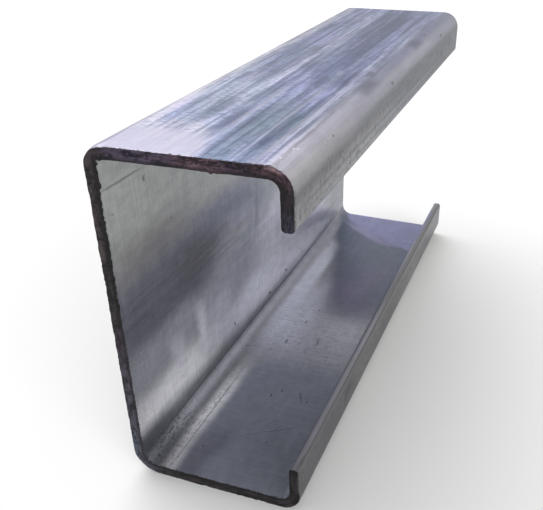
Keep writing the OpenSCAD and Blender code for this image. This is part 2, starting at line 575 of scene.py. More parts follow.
# The finish of the rolled skin. Places are on the strip laid flat: across from the top lip's slit
# edge and along from the front cut, in millimetres, on side 1 (outside) or -1 (inside).
outside, inside = 1, -1
skinFinish = {
    "outsideTone": (0.225, 0.227, 0.238),
    "flangeSkyTone": (0.206, 0.222, 0.345),  # outside of the top flange: grey steel with a painted bluish sky reflection
    "insideTone": (0.31, 0.315, 0.33),
    "outsideMetallic": 0.95,
    "insideMetallic": 0.66,
    "dirtMetallic": 0.15,
    "paintedSheen": (0.110, 0.106, 0.084),       # painted sheen, added to the outside tones
    "nearSheen": 0.5,                     # shares of it added at the front cut, there on the
    "nearFlangeSheen": 0.1,               # top flange, and at the far end
    "farSheen": 0.85,
    "roughness": 0.28,                   # where it is smoothest, and what streaks and soot add
    "roughening": (("fine", 0.10), ("broad", 0.10)),
    "sootRoughening": 0.25,
    "edgeTint": (0.69, 0.71, 0.82),      # colour of the gloss at grazing angles
    "relief": (("fine", 0.5), ("brushed", 0.3), ("mottle", 0.3)),
    "pitting": -2.0,                     # relief of a speck
    "bump": 0.35,
    "bumpHeight": 0.00003,               # metres
    "sideFade": 0.25,                    # where the two sides' tones meet, as shares of a side
    "sideShift": 40,                     # keeps the sides' patterns apart
    "sideHalf": 1.1,                     # how far from its side a tone reaches, in sides
    # where the top flange, both lips and the web begin and end, across the strip
    "flangeStart": (12.0, 19.0),
    "flangeEnd": (54.0, 60.0),
    "topLipEnd": (8.0, 12.0),
    "bottomLipStart": (199.0, 203.0),
    "webEnd": (150.0, 160.0),
    # how edges of tones are ravelled: size of the grain, how far it moves them, and its detail
    "ravel": {
        "fingered": (((6, 9, 9), (1.6, 4, 0), 2.0),),
        "clouded": (((30, 34, 9), (8, 12, 0), 1.0), ((5, 5, 9), (1.4, 2.0, 0), 4.0)),
        "blotched": (((4, 6, 9), (1.6, 3.5, 0), 4.0),),
        "frayed": (((1.2, 2.6, 9), (0.5, 2.5, 0), 3.0),),
        "straight": (((1.6, 18, 9), (0.7, 0, 0), 3.0),),
    },
    # fingers: size of the grain, its detail, their reach, and the distances behind the front cut
    # over which they grow from a share of it to all of it
    "fingers": ((0.8, 90, 9), 3.0, 30.0, (6.0, 34.0, 0.15, 1.0)),
    # patterns of noise: size of the grain, detail, and the noise that gives 0 and 1
    "grains": {
        "broad": ((1.5, 70, 1), 4.0, 0.32, 0.68),
        "fine": ((0.42, 16, 1), 3.0, 0.3, 0.7),
        "brushed": ((22, 0.5, 1), 3.0, 0.25, 0.75),
        "mottle": ((2.6, 5.0, 1), 5.0, 0.28, 0.72),
        "strokes": ((2.6, 0.8, 1), 3.0, 0.52, 0.59),
        "strokeArea": ((5, 14, 1), 2.0, 0.40, 0.58),
        "dashes": ((2.0, 1.4, 1), 4.0, 0.50, 0.64),
        "clouds": ((26, 40, 1), 4.0, 0.32, 0.68),
        "hue": ((5, 22, 1), 3.0, 0.35, 0.65),
        "blots": ((0.8, 1.5, 1), 5.0, 0.47, 0.57),
        "groups": ((2.6, 5.5, 1), 2.0, 0.36, 0.56),
        "bite": ((0.8, 2.0, 1), 3.0, 0.3, 0.75),
    },
    # streaks along the steel and across it: weights of their grains, and the sums that give 0 and 1
    "rolled": (("broad", 0.42), ("fine", 0.28), ("mottle", 0.18), ("brushed", 0.12)),
    "rolledRange": (0.28, 0.72),
    "drawn": (("brushed", 0.46), ("mottle", 0.42), ("fine", 0.12)),
    "drawnRange": (0.1, 0.9),
    # tints of the streaks, dark and light, elsewhere and on the top flange; of brushing, on the
    # bottom flange and on the web; of the outer faces' clouds; and of the top flange's hue
    "streaks": ((0.78, 0.78, 0.78), (0.56, 0.60, 0.67), (1.20, 1.20, 1.19), (1.34, 1.32, 1.28)),
    "brushes": ((0.89, 0.89, 0.90), (0.86, 0.86, 0.87), (1.11, 1.11, 1.11), (1.14, 1.14, 1.13)),
    "clouds": ((0.80, 0.80, 0.81), (1.08, 1.08, 1.07)),
    "hues": ((0.95, 1.02, 0.99), (1.02, 0.99, 1.03)),
    # marks over the streaks, each as colour and strength
    "strokes": ((0.38, 0.42, 0.50), 0.66),
    "dashes": ((0.40, 0.40, 0.40), 0.75),
    "scuffs": ((0.55, 0.55, 0.58), 0.5),
    "rubbed": ((0.98, 0.98, 1.0), 0.6),
    "specks": ((0.030, 0.030, 0.035), 0.85),
    "glints": ((0.85, 0.85, 0.88), 1.0),
    "soot": ((0.018, 0.014, 0.018), 0.92),
    # where they lie, each as middle, half size and blend
    "strokeNear": ((40, 44, 40), (14, 26, 9), 0.6),
    "scuffArea": ((176, 76, -1), (20, 18, 1.1), 0.8),
    "rubbedArea": ((12.4, 90, 40), (3.5, 220, 9), 0.4),
    "glintArea": ((14.8, 9, 1), (0.8, 4.5, 0.9), 0.4),
    # specks: size of their cells, of the largest speck in a cell, and share of cells that have one
    "fewSpecks": ((2.4, 3.2, 1), 0.19, 0.14),
    "glintSpecks": ((0.45, 1.1, 1), 0.5, 0.5),
    # blots beside the bottom bend, along it and behind the front rim, with their weight
    "blotAreas": (
        ((153.5, 9, -1), (4.5, 15, 1.1), 0.7, 1.0),
        ((160.6, 24, -1), (1.6, 26, 1.1), 0.6, 0.45),
        ((125, 3, -1), (22, 5, 1.1), 0.8, 0.40),
    ),
    "strokeAreaShare": 0.8,
    "sootReach": (0.05, 0.75),           # how far behind the front cut it ends, and how softly
    "sootEdge": (-0.12, 0.10),
    "burrEdge": (-1.20, -1.06),          # sides past which the folded burr is sooty
    # painted highlight and shade lines along the bottom lip's slit edge: side, along, half sizes
    # across, along and in sides, blend, colour and strength
    "slitEdge": (
        (-0.1, 40, 1.0, 170, 0.4, 0.5, (0.165, 0.163, 0.195), 0.7),
        (-0.06, 40, 1.0, 41, 0.4, 0.5, (0.46, 0.45, 0.5), 0.85),
        (0.66, 40, 1.0, 170, 0.2, 0.5, (0.13, 0.13, 0.145), 0.7),
        (-0.86, 40, 1.0, 170, 0.2, 0.5, (0.1, 0.1, 0.12), 0.6),
    ),
    # changes of tone, each as across, along, half size across, half size along, blend, colour,
    # strength, and slant if it leans. The straight ones keep to the bends and edges of the strip.
    "straightOutside": (
        (3.0, 90, 9.0, 110, 0.33, (0.141, 0.138, 0.131), 1.0),  # top lip
        (1.5, 34, 4.6, 80, 0.6, (0.284, 0.281, 0.271), 0.9),
        (13.4, 24, 2.7, 58, 0.7, (0.53, 0.51, 0.58), 0.9),  # lip bend, near: painted highlight
        (10.9, 20, 1.5, 28, 0.8, (0.43, 0.42, 0.41), 0.7),
        (13.6, 120, 3.2, 70, 0.8, (0.3, 0.303, 0.385), 0.85),  # lip bend, far: painted sky reflection
        (11.6, 122, 1.5, 76, 0.7, (0.395, 0.388, 0.425), 0.8),
        (9.0, 110, 1.3, 90, 0.8, (0.149, 0.149, 0.141), 0.8),
        (54.3, 90, 1.8, 110, 0.6, (0.316, 0.309, 0.36), 0.8),  # bend beside the web: painted highlight
        (56.8, 90, 2.2, 110, 0.6, (0.36, 0.35, 0.38), 0.9),
        # painted shade on the bend's far side
        (60.0, 90, 1.6, 110, 0.5, (0.17, 0.18, 0.17), 0.8),
        (7.0, 122, 2.2, 34, 0.8, (0.1, 0.101, 0.092), 0.7),
        (4.6, 90, 0.45, 84, 0.6, (0.085, 0.085, 0.083), 0.6),
        (2.4, 100, 0.35, 70, 0.6, (0.09, 0.09, 0.088), 0.5),
        (206, 90, 8.5, 110, 0.2, (0.154, 0.15, 0.142), 1.0),  # bottom lip
        (209.8, 90, 1.2, 110, 0.6, (0.15, 0.149, 0.158), 0.6),
        (206, 160, 9, 84, 0.8, (0.228, 0.222, 0.202), 0.85),
    ),
    "straightInside": (
        (2.0, 90, 5.0, 110, 0.4, (0.2, 0.2, 0.2), 0.6),
        (140, 30, 5.0, 60, 0.6, (0.62, 0.61, 0.68), 0.8),  # above the bottom bend: painted reflection
        (139, 112, 8.0, 46, 0.5, (0.7, 0.69, 0.76), 0.85),
        (148.3, 20, 2.7, 40, 0.9, (0.25, 0.25, 0.27), 0.85),  # shade above the bend
        (148.9, 50, 1.5, 80, 0.9, (0.19, 0.19, 0.21), 0.8),
        (148.6, 150, 2.2, 44, 0.7, (0.44, 0.44, 0.46), 0.8),
        (145.6, 150, 2.4, 24, 0.8, (0.7, 0.7, 0.76), 0.7),
        (150.0, 80, 0.55, 110, 0.7, (0.05, 0.05, 0.06), 0.85),  # line along the bend: painted shade in its crease
        (153.5, 90, 3.0, 120, 0.5, (0.3, 0.3, 0.345), 0.9),
        (152.5, 155, 3.0, 26, 0.8, (0.235, 0.235, 0.275), 0.8),
        # bright bands on the bottom bend: painted reflections
        (160.4, 112, 3.4, 39, 0.5, (0.78, 0.79, 0.88), 0.85),
        (160.9, 21, 2.8, 27, 0.55, (0.95, 0.95, 0.98), 0.9),
        (160.7, 24, 0.3, 22, 0.7, (0.3, 0.3, 0.33), 0.6),
        (150, 0, 10, 16, 0.6, (0.1, 0.1, 0.12), 0.8),
    ),
    "fingeredOutside": (
        (28.5, 128, 2.8, 57, 0.4, (0.066, 0.081, 0.152), 0.87),  # dark violet bands
        (32.5, 152, 6.2, 32, 0.4, (0.077, 0.09, 0.154), 0.78),
        (21.0, 160, 3.4, 22, 0.6, (0.105, 0.113, 0.18), 0.6),
        (44.5, 148, 3.4, 30, 0.6, (0.118, 0.129, 0.201), 0.35),
        (37.6, 142, 3.4, 17, 0.8, (0.105, 0.118, 0.18), 0.5),
        (48.6, 92, 1.3, 30, 0.6, (0.105, 0.121, 0.175), 0.6),
        (52.6, 84, 1.4, 42, 0.6, (0.34, 0.34, 0.41), 0.6),
        (18.6, 84, 1.7, 60, 0.6, (0.33, 0.335, 0.43), 0.65),
        (15.7, 122, 1.3, 48, 0.8, (0.14, 0.145, 0.218), 0.7),
        (17.6, 22, 1.8, 34, 0.7, (0.265, 0.27, 0.345), 0.8),
        (36.4, 104, 1.9, 26, 0.7, (0.105, 0.118, 0.188), 0.8),
        (21.2, 20, 2.2, 20, 0.5, (0.114, 0.134, 0.19), 0.75),  # teal ones, near
        (28.8, 20, 3.8, 24, 0.4, (0.112, 0.136, 0.18), 0.85),
        (24.3, 46, 0.8, 46, 0.8, (0.3, 0.31, 0.39), 0.6),  # light streaks
        (33.8, 54, 1.0, 40, 0.8, (0.28, 0.285, 0.36), 0.4),
        (40.3, 84, 2.4, 64, 0.7, (0.365, 0.368, 0.46), 0.84),
        (46.6, 50, 3.6, 28, 0.7, (0.246, 0.252, 0.3), 0.6),
        (45.0, -8, 13.6, 31, 0.12, (0.318, 0.305, 0.356), 0.95, 0.1),  # milky patch: painted reflection of a bright sky
    ),
    "blotchedOutside": (
        (45.0, 34, 4.8, 13, 0.9, (0.165, 0.192, 0.228), 0.62),  # teal ones
        (37.0, 44, 2.6, 12, 0.9, (0.16, 0.196, 0.238), 0.45),
        (24.0, 16, 4.5, 14, 0.9, (0.15, 0.19, 0.23), 0.45),
        (44.0, 98, 4.5, 14, 0.9, (0.18, 0.208, 0.262), 0.4),
        (49.6, 160, 2.4, 26, 0.8, (0.112, 0.122, 0.188), 0.5),
        (31.2, 130, 1.8, 26, 0.8, (0.09, 0.1, 0.16), 0.55),
        (30.8, 25, 1.6, 9, 0.7, (0.072, 0.088, 0.128), 0.8),
        (27.2, 47, 1.8, 8, 0.8, (0.215, 0.23, 0.29), 0.5),
        (22.0, 69, 2.6, 9, 0.5, (0.088, 0.098, 0.168), 0.75),
        (27.5, 66, 1.8, 6, 0.6, (0.087, 0.098, 0.159), 0.7),
        (36.0, 27, 1.9, 9, 0.5, (0.068, 0.083, 0.138), 0.85),
        (36.4, 58, 1.4, 7, 0.6, (0.105, 0.117, 0.175), 0.6),
        (36.8, 84, 1.5, 5, 0.6, (0.087, 0.098, 0.159), 0.7),
        (43.0, 34, 1.9, 9, 0.5, (0.077, 0.101, 0.138), 0.8),
        (43.6, 72, 1.6, 11, 0.6, (0.1, 0.115, 0.165), 0.5),
        (43.0, 106, 1.5, 5, 0.6, (0.087, 0.107, 0.143), 0.7),
        (51.0, 38, 1.3, 7, 0.6, (0.093, 0.125, 0.159), 0.75),
        (51.2, 66, 1.1, 6, 0.6, (0.087, 0.101, 0.148), 0.7),
        (51.0, 142, 1.5, 9, 0.6, (0.074, 0.086, 0.148), 0.75),
        (21.5, 22, 1.6, 12, 0.6, (0.077, 0.098, 0.143), 0.7),
        (28.0, 152, 3.0, 13, 0.6, (0.062, 0.071, 0.127), 0.7),
        (27.6, 104, 2.2, 6, 0.6, (0.077, 0.083, 0.143), 0.6),
        (43.5, 167, 3.0, 6, 0.7, (0.298, 0.297, 0.392), 0.7),
        (24.8, 36, 0.8, 5, 0.6, (0.372, 0.369, 0.445), 0.6),
    ),
    # painted reflections and shade of the surroundings on the inside of the web and bottom flange
    "cloudedReflectionsInside": (
        (72, 20, 18, 70, 0.25, (0.312, 0.32, 0.312), 1.0),  # web, upper part
        (126, 90, 14, 15, 0.6, (0.76, 0.77, 0.85), 0.85),
        (126, 116, 10, 26, 0.7, (0.64, 0.64, 0.7), 0.8),
        (90, 18, 6, 17, 0.9, (0.185, 0.18, 0.18), 0.85),  # dark cloud: painted reflection
        (105.5, 22, 12.5, 33, 0.6, (0.134, 0.134, 0.167), 0.97, -0.03),
        (105, 39, 6.5, 12, 0.8, (0.112, 0.109, 0.122), 0.75, -0.1),
        (98, 66, 5, 20, 0.8, (0.175, 0.185, 0.24), 0.8, 0.12),
        (105.5, 71, 2.6, 8, 0.8, (0.32, 0.32, 0.41), 0.65, 0.15),
        (106, 82, 7, 1.4, 0.7, (0.2, 0.21, 0.26), 0.6),
        (113, 77, 5, 1.2, 0.7, (0.26, 0.27, 0.32), 0.5),
        (119, 68, 9, 17, 0.7, (0.37, 0.38, 0.435), 0.8),
        (124, 38, 7, 42, 0.6, (0.38, 0.38, 0.435), 0.8),
        (131, 51, 4.5, 10, 0.8, (0.6, 0.6, 0.66), 0.6),
        (137.5, 19, 5.6, 23, 0.7, (0.92, 0.9, 0.93), 0.9, 0.04),  # bright stretch: painted reflection
        (139, 18, 2.4, 16, 0.7, (0.98, 0.97, 0.98), 0.8, 0.04),
        (132, 22, 6, 3.6, 0.8, (0.76, 0.74, 0.8), 0.6, 0.3),
        (130, 38.5, 7, 2.6, 0.8, (0.8, 0.79, 0.85), 0.75, 0.5),
        (139.3, 146, 2.7, 23, 0.5, (0.28, 0.28, 0.34), 0.6, 0.2),
        (138, 176, 10, 14, 0.5, (0.35, 0.35, 0.35), 0.8),
        (179.6, 24, 16.0, 38, 0.12, (0.285, 0.305, 0.36), 0.95),
        (185, 44, 8, 14, 0.9, (0.345, 0.365, 0.425), 0.7),
        (167.0, 5, 4.0, 16, 0.7, (0.15, 0.155, 0.19), 0.85),
        (180, 75, 16, 14, 0.7, (0.5, 0.5, 0.57), 0.85),  # cross band: painted reflection
        (181, 87, 8, 9, 0.8, (0.52, 0.51, 0.57), 0.6),
        (166, 92, 6.5, 20, 0.6, (0.64, 0.65, 0.73), 0.85, -0.05),
        (187, 185, 13, 84, 0.18, (0.138, 0.143, 0.19), 0.95),  # dark far part: painted reflection
        (172.3, 177, 16.5, 79, 0.17, (0.126, 0.134, 0.181), 0.95, -0.2),
        (178, 114, 8, 15, 0.9, (0.176, 0.16, 0.24), 0.7),
        (171, 132, 6, 12, 0.9, (0.105, 0.12, 0.16), 0.6, -0.2),
        (183, 146, 7, 9, 0.9, (0.118, 0.142, 0.17), 0.7),
        (187, 128, 4, 12, 0.9, (0.15, 0.15, 0.19), 0.5),
        (163, 164, 7, 14, 0.5, (0.105, 0.125, 0.17), 0.9, -0.3),
        (179, 180, 23, 45, 0.1, (0.205, 0.207, 0.325), 0.95, -1.25),  # lilac corner: painted sky reflection
        (168, 168, 3.5, 5, 0.6, (0.26, 0.24, 0.38), 0.6, -1.2),
        (178, 160, 2.4, 4, 0.9, (0.255, 0.235, 0.37), 0.6, -1.2),
        (190, 168, 4, 9, 0.9, (0.185, 0.195, 0.285), 0.5),
    ),
    # laid over the streaks
    "frayedOutside": (
        (45.0, -10, 13.6, 25, 0.1, (0.335, 0.318, 0.378), 0.8, 0.1),  # its even front part, painted reflection too
        (15.1, 25, 0.3, 28, 0.8, (0.2, 0.195, 0.22), 0.5),
        (24.6, 30, 0.35, 30, 0.6, (0.074, 0.089, 0.117), 0.6),
        (23.7, 40, 0.4, 24, 0.8, (0.34, 0.345, 0.41), 0.5),
        (34.2, 34, 0.8, 19, 0.8, (0.34, 0.34, 0.4), 0.5),
        (36.6, 34, 0.8, 17, 0.5, (0.11, 0.124, 0.165), 0.45),
        (43.2, 66, 0.5, 44, 0.7, (0.11, 0.125, 0.17), 0.4),
        (50.6, 42, 0.5, 14, 0.5, (0.087, 0.101, 0.127), 0.65),
        (19.0, 20, 0.6, 24, 0.8, (0.36, 0.36, 0.42), 0.6),
        (14.6, 66, 1.5, 7, 0.8, (0.118, 0.119, 0.159), 0.7),  # dark spots
        (16.4, 77, 1.0, 2.6, 0.7, (0.093, 0.095, 0.127), 0.75),
        (14.8, 123, 1.4, 5, 0.8, (0.105, 0.107, 0.148), 0.75),
        (11.2, 81, 0.35, 1.0, 0.7, (0.074, 0.071, 0.074), 0.7),
        (11.4, 152, 0.35, 1.6, 0.7, (0.074, 0.071, 0.074), 0.7),
        (8.0, 30, 0.5, 1.6, 0.7, (0.06, 0.06, 0.06), 0.6),
        (8.2, 96, 0.8, 0.8, 0.7, (0.05, 0.05, 0.05), 0.8),
        (7.4, 99, 0.9, 0.6, 0.7, (0.05, 0.05, 0.05), 0.7),
        (8.6, 133, 0.7, 0.7, 0.7, (0.05, 0.05, 0.05), 0.7),
        (6.4, 167, 1.6, 0.7, 0.7, (0.03, 0.03, 0.03), 0.9),
        (5.4, 152, 1.3, 2.0, 0.6, (0.035, 0.035, 0.035), 0.8),
        (3.0, 45, 0.6, 1.6, 0.7, (0.07, 0.07, 0.07), 0.6),
        (206.5, 42, 1.6, 3.0, 0.8, (0.04, 0.04, 0.04), 0.85),
        (204.5, 39, 2.4, 1.2, 0.8, (0.06, 0.06, 0.06), 0.7, -0.5),
        (207, 24, 2.0, 3.5, 0.9, (0.09, 0.09, 0.09), 0.5),
        (205, 83, 2.5, 1.2, 0.9, (0.1, 0.098, 0.085), 0.6, -0.6),
    ),
    "frayedInside": (
        (67.5, 9, 0.3, 7.5, 0.5, (0.13, 0.13, 0.13), 0.75, 0.02),
        (70.6, 18, 0.7, 0.5, 0.6, (0.09, 0.09, 0.09), 0.8),
        (147.41, 92, 0.5, 1.0, 0.6, (0.04, 0.04, 0.05), 0.8, 0.4),
        (146.2, 109, 0.5, 1.0, 0.6, (0.04, 0.04, 0.05), 0.8, 0.4),
        (142.8, 61.5, 0.9, 0.5, 0.6, (0.06, 0.06, 0.07), 0.8, 1.5),
        (145.8, 63.5, 1.6, 0.28, 0.6, (0.1, 0.1, 0.11), 0.6),
        (184.4, 42, 0.35, 2.4, 0.6, (0.09, 0.095, 0.11), 0.6, -0.45),  # scratches on the bottom
        (181.5, 24, 0.25, 4.6, 0.6, (0.14, 0.15, 0.18), 0.6, 1.6),
        (179.2, 73, 0.35, 1.4, 0.6, (0.09, 0.09, 0.1), 0.6, -0.3),
        (168.5, 70, 0.4, 0.9, 0.6, (0.08, 0.08, 0.09), 0.7),
        (170.8, 84, 0.4, 0.8, 0.6, (0.08, 0.08, 0.09), 0.7),
    ),
}


def layTones(tree, colour, place, side, tones):
    # Lays each tone over the colour below it where its patch lies, on one side of the strip.
    for across, along, halfAcross, halfAlong, edge, tone, strength, *slant in tones:
        halfSize = (halfAcross, halfAlong, skinFinish["sideHalf"])
        mask = patch(tree, place, (across, along, side), halfSize, edge, strength, *slant)
        colour = blend(tree, mask, colour, tone)
    return colour


def shift(tree, place, size, reach, detail):
    # Moves a place by up to half of reach each way, by noise of a given grain, to ravel edges.
    scaled = calcVector(tree, "DIVIDE", place, size)
    sockets = {"Vector": scaled, "Scale": 1.0, "Detail": detail}
    noise = addNode(tree, "ShaderNodeTexNoise", sockets).outputs["Color"]
    channels = addNode(tree, "ShaderNodeSeparateColor", {0: noise}).outputs
    centred = calcVector(tree, "SUBTRACT", joinVector(tree, *channels), (0.5, 0.5, 0.5))
    return calcVector(tree, "ADD", place, calcVector(tree, "MULTIPLY", centred, reach))


def addBump(tree, shader, raised, strength, distance):
    # Relief: a height from 0 to 1 stands for up to the distance, in metres.
    bump = addNode(tree, "ShaderNodeBump", {
        "Height": raised, "Strength": strength, "Distance": distance,
    })
    tree.links.new(bump.outputs["Normal"], shader.inputs["Normal"])


def weigh(tree, *shares):
    # The sum of values, each times its weight.
    total = 0.0
    for value, weight in shares:
        total = calc(tree, "MULTIPLY_ADD", value, weight, total)
    return total


def times(tree, first, *others):
    # The product of values.
    for other in others:
        first = calc(tree, "MULTIPLY", first, other)
    return first


def mark(tree, colour, mask, tone, strength):
    # Lays one tone over the colour where the mask is, times its strength.
    return blend(tree, times(tree, mask, strength), colour, tone)


def grainOf(tree, place, size, detail, low, high):
    # Drawn noise over a place.
    return useGroup(tree, drawnNoise, Place=place, Size=size, Detail=detail, Low=low, High=high)


def specksOn(tree, place, cell, size, share):
    # Specks over a place.
    return useGroup(tree, specks, Place=place, Cell=cell, Size=size, Share=share)


def newMaterial(name):
    # A material, its node tree and shader, and the mesh's places on the strip laid flat.
    material = bpy.data.materials.new(name)
    material.use_nodes = True
    tree = material.node_tree
    laid = addNode(tree, "ShaderNodeAttribute", {}, attribute_name="laid").outputs["Vector"]
    return material, tree, tree.nodes["Principled BSDF"], laid


def rolledSkin():
    # The rolled skin: patches of tone with ravelled edges, times the tints of the streaks, with
    # marks over them. A painted sheen lightens the outside; soot and specks take off its shine.
    finish = skinFinish
    material, tree, shader, laid = newMaterial("formedSteel")
    parts = addNode(tree, "ShaderNodeSeparateXYZ", {0: laid}).outputs
    isOutside = remap(tree, parts[2], -finish["sideFade"], finish["sideFade"])
    spread = calcVector(tree, "MULTIPLY", laid, (1, 1, finish["sideShift"]))

    # fingers grow longer with the distance from the front cut
    fingerSize, fingerDetail, fingerReach, fingerGrowth = finish["fingers"]
    reach = times(tree, remap(tree, parts[1], *fingerGrowth), fingerReach)
    fingers = shift(tree, laid, fingerSize, joinVector(tree, 0.0, reach, 0.0), fingerDetail)
    places = {}
    for name, moves in finish["ravel"].items():
        places[name] = fingers if name == "fingered" else laid
        for move in moves:
            places[name] = shift(tree, places[name], *move)

    onFlange = times(tree, isOutside, remap(tree, parts[0], *finish["flangeStart"]),
                     remap(tree, parts[0], *finish["flangeEnd"], 1.0, 0.0))
    onLips = calc(tree, "ADD", remap(tree, parts[0], *finish["topLipEnd"], 1.0, 0.0),
                  remap(tree, parts[0], *finish["bottomLipStart"]))
    onLips = times(tree, isOutside, onLips)
    colour = blend(tree, isOutside, finish["insideTone"], finish["outsideTone"])
    # the top flange's bluish tone is a painted reflection of the sky over the grey steel
    colour = blend(tree, onFlange, colour, finish["flangeSkyTone"])
    colour = layTones(tree, colour, places["straight"], outside, finish["straightOutside"])
    colour = layTones(tree, colour, places["straight"], inside, finish["straightInside"])
    colour = layTones(tree, colour, places["fingered"], outside, finish["fingeredOutside"])
    colour = layTones(tree, colour, places["blotched"], outside, finish["blotchedOutside"])
    # the inside's painted reflections and shade
    colour = layTones(tree, colour, places["clouded"], inside, finish["cloudedReflectionsInside"])

    # streaks: rolled ones lie along the steel, brushed ones across it
    grains = {name: grainOf(tree, spread, *values) for name, values in finish["grains"].items()}
    rolled = weigh(tree, *((grains[name], weight) for name, weight in finish["rolled"]))
    dark, flangeDark, light, flangeLight = finish["streaks"]
    darkStreak = blend(tree, onFlange, dark, flangeDark)
    lightStreak = blend(tree, onFlange, light, flangeLight)
    streakTint = blend(tree, remap(tree, rolled, *finish["rolledRange"]), darkStreak, lightStreak)
    strokeNear = patch(tree, spread, *finish["strokeNear"])
    strokeArea = times(tree, grains["strokeArea"], finish["strokeAreaShare"])
    strokeShare = calc(tree, "MAXIMUM", strokeArea, strokeNear)
    strokes = times(tree, grains["strokes"], strokeShare, onFlange)
    streakTint = mark(tree, streakTint, strokes, *finish["strokes"])
    lipDashes = times(tree, grains["dashes"], onLips)
    streakTint = mark(tree, streakTint, lipDashes, *finish["dashes"])
    # handling clouds the other outer faces
    cloudTint = blend(tree, grains["clouds"], *finish["clouds"])
    cloudTint = blend(tree, onFlange, cloudTint, (1.0, 1.0, 1.0))
    streakTint = blend(tree, 1.0, streakTint, cloudTint, "MULTIPLY")
    drawn = weigh(tree, *((grains[name], weight) for name, weight in finish["drawn"]))
    onWeb = remap(tree, parts[0], *finish["webEnd"], 1.0, 0.0)
    dark, webDark, light, webLight = finish["brushes"]
    darkBrush = blend(tree, onWeb, dark, webDark)
    lightBrush = blend(tree, onWeb, light, webLight)
    brushTint = blend(tree, remap(tree, drawn, *finish["drawnRange"]), darkBrush, lightBrush)
    scuffArea = patch(tree, places["clouded"], *finish["scuffArea"])
    scuffs = times(tree, grains["dashes"], scuffArea)
    brushTint = mark(tree, brushTint, scuffs, *finish["scuffs"])
    # rolling leaves the top flange more teal in some places and more violet in others
    hueTint = blend(tree, grains["hue"], *finish["hues"])
    streakTint = blend(tree, onFlange, streakTint, hueTint, "MULTIPLY")
    # the bend at the top lip is rubbed smooth
    rubbed = patch(tree, spread, *finish["rubbedArea"])
    streakTint = mark(tree, streakTint, rubbed, *finish["rubbed"])
    tint = blend(tree, isOutside, brushTint, streakTint)
    colour = blend(tree, 1.0, colour, tint, "MULTIPLY")
    colour = layTones(tree, colour, places["frayed"], outside, finish["frayedOutside"])
    colour = layTones(tree, colour, places["frayed"], inside, finish["frayedInside"])
    # painted sheen on the outside, growing from the front cut to the far end, weakest on the near top
    # flange
    near = remap(tree, onFlange, 0.0, 1.0, finish["nearSheen"], finish["nearFlangeSheen"], "LINEAR")
    paintedSheen = remap(tree, parts[1], 0.0, length, near, finish["farSheen"], "LINEAR")
    colour = blend(tree, times(tree, paintedSheen, isOutside), colour, finish["paintedSheen"], "ADD")

    # specks: a few everywhere, and blots beside the bottom bend near the front
    few = specksOn(tree, places["frayed"], *finish["fewSpecks"])
    areas = [(patch(tree, places["clouded"], middle, half, edge), weight)
             for middle, half, edge, weight in finish["blotAreas"]]
    blotShare = calc(tree, "MINIMUM", weigh(tree, *areas), 1.0)
    blots = times(tree, grains["blots"], blotShare, grains["groups"])
    speckMask = calc(tree, "MAXIMUM", few, blots)
    colour = mark(tree, colour, speckMask, *finish["specks"])
    # painted highlight near the front along the bottom lip's slit edge, between lines of painted
    # shade
    for side, along, halfAcross, halfAlong, halfSide, edge, tone, strength in finish["slitEdge"]:
        middle = (stripWidth, along, side)
        halfSize = (halfAcross, halfAlong, halfSide)
        line = patch(tree, places["straight"], middle, halfSize, edge, strength)
        colour = blend(tree, line, colour, tone)
    glints = specksOn(tree, places["frayed"], *finish["glintSpecks"])
    glints = times(tree, glints, patch(tree, laid, *finish["glintArea"]))
    colour = mark(tree, colour, glints, *finish["glints"])

    # the saw's heat and dirt bite unevenly into the skin beside the front cut
    reach = remap(tree, grains["bite"], 0.0, 1.0, *finish["sootReach"], "LINEAR")
    behind = calc(tree, "SUBTRACT", parts[1], reach)
    soot = remap(tree, behind, *finish["sootEdge"], 1.0, 0.0)
    soot = calc(tree, "MAXIMUM", soot, remap(tree, parts[2], *finish["burrEdge"], 1.0, 0.0))
    colour = mark(tree, colour, soot, *finish["soot"])
    tree.links.new(colour, shader.inputs["Base Color"])

    shader.inputs["Specular Tint"].default_value = (*finish["edgeTint"], 1)
    rough = [(grains[name], weight) for name, weight in finish["roughening"]]
    rough = weigh(tree, *rough, (soot, finish["sootRoughening"]))
    rough = calc(tree, "ADD", rough, finish["roughness"])
    tree.links.new(rough, shader.inputs["Roughness"])
    clean = remap(tree, isOutside, 0.0, 1.0, finish["insideMetallic"], finish["outsideMetallic"],
                  "LINEAR")
    dirt = calc(tree, "MAXIMUM", soot, speckMask)
    metal = remap(tree, dirt, 0.0, 1.0, clean, finish["dirtMetallic"], "LINEAR")
    tree.links.new(metal, shader.inputs["Metallic"])

    # relief: streaks a few microns deep, pits at the specks
    raised = [(grains[name], weight) for name, weight in finish["relief"]]
    raised = weigh(tree, *raised, (speckMask, finish["pitting"]))
    addBump(tree, shader, raised, finish["bump"], finish["bumpHeight"])
    return material


